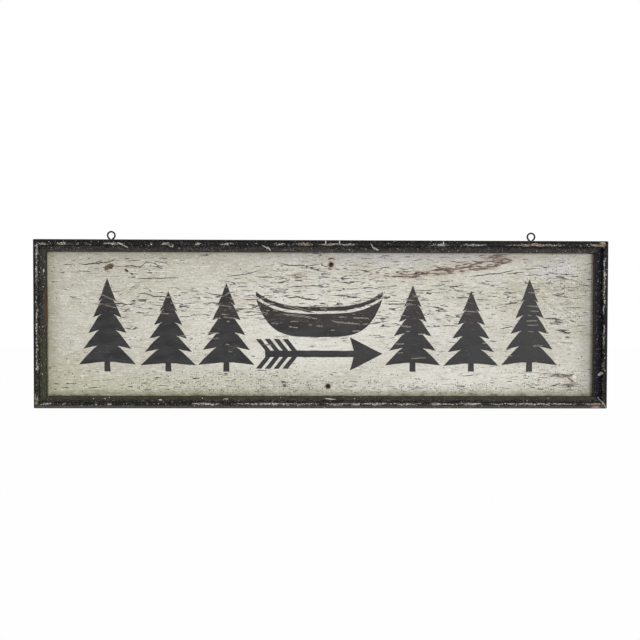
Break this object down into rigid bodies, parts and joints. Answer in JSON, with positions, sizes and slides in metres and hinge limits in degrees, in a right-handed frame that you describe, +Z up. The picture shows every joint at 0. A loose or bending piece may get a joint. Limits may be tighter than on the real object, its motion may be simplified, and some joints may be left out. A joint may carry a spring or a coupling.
{
  "type": "framed wooden hanging sign",
  "caption": "Long painted wooden sign board in a mitred black moulding frame, with a rear batten and screw eyes along the top for hanging.",
  "frame": {"origin": "middle of the frame's length and depth, on the surface that the bottom rail stands on", "axes": "+X along the sign, to the right of someone who faces its painted side; -Y is the painted side; +Z is up"},
  "size_m": [1.219, 0.0414, 0.3784],
  "materials": {
    "cream_paint": "cream sign paint, crazed and worn on pine",
    "black_paint": "black paint, rubbed through along the edges",
    "bare_pine": "raw aged pine",
    "rusty_iron": "rusted steel",
    "dark_iron": "dark oxidised steel wire"
  },
  "bodies": {
    "sign": {"board": "cream_paint", "batten": "bare_pine", "top_rail": "black_paint", "bottom_rail": "black_paint", "left_stile": "black_paint", "right_stile": "black_paint", "upper_batten_screw": "rusty_iron", "lower_batten_screw": "rusty_iron", "top_left_corner_nails": "rusty_iron", "top_right_corner_nails": "rusty_iron", "bottom_left_corner_nails": "rusty_iron", "bottom_right_corner_nails": "rusty_iron", "top_rail_nails": "rusty_iron", "bottom_rail_nails": "rusty_iron", "left_stile_nails": "rusty_iron", "right_stile_nails": "rusty_iron"},
    "left_eye": {"left_screw_eye": "dark_iron"},
    "right_eye": {"right_screw_eye": "dark_iron"}
  },
  "joints": [
    {"name": "left_eye_turn", "type": "hinge", "parent": "sign", "child": "left_eye", "pos_m": [-0.4525, 0.0045, 0.358], "axis": [0, 0, 1], "range_deg": [-90, 90]},
    {"name": "right_eye_turn", "type": "hinge", "parent": "sign", "child": "right_eye", "pos_m": [0.4515, 0.0045, 0.358], "axis": [0, 0, 1], "range_deg": [-90, 90]}
  ]
}
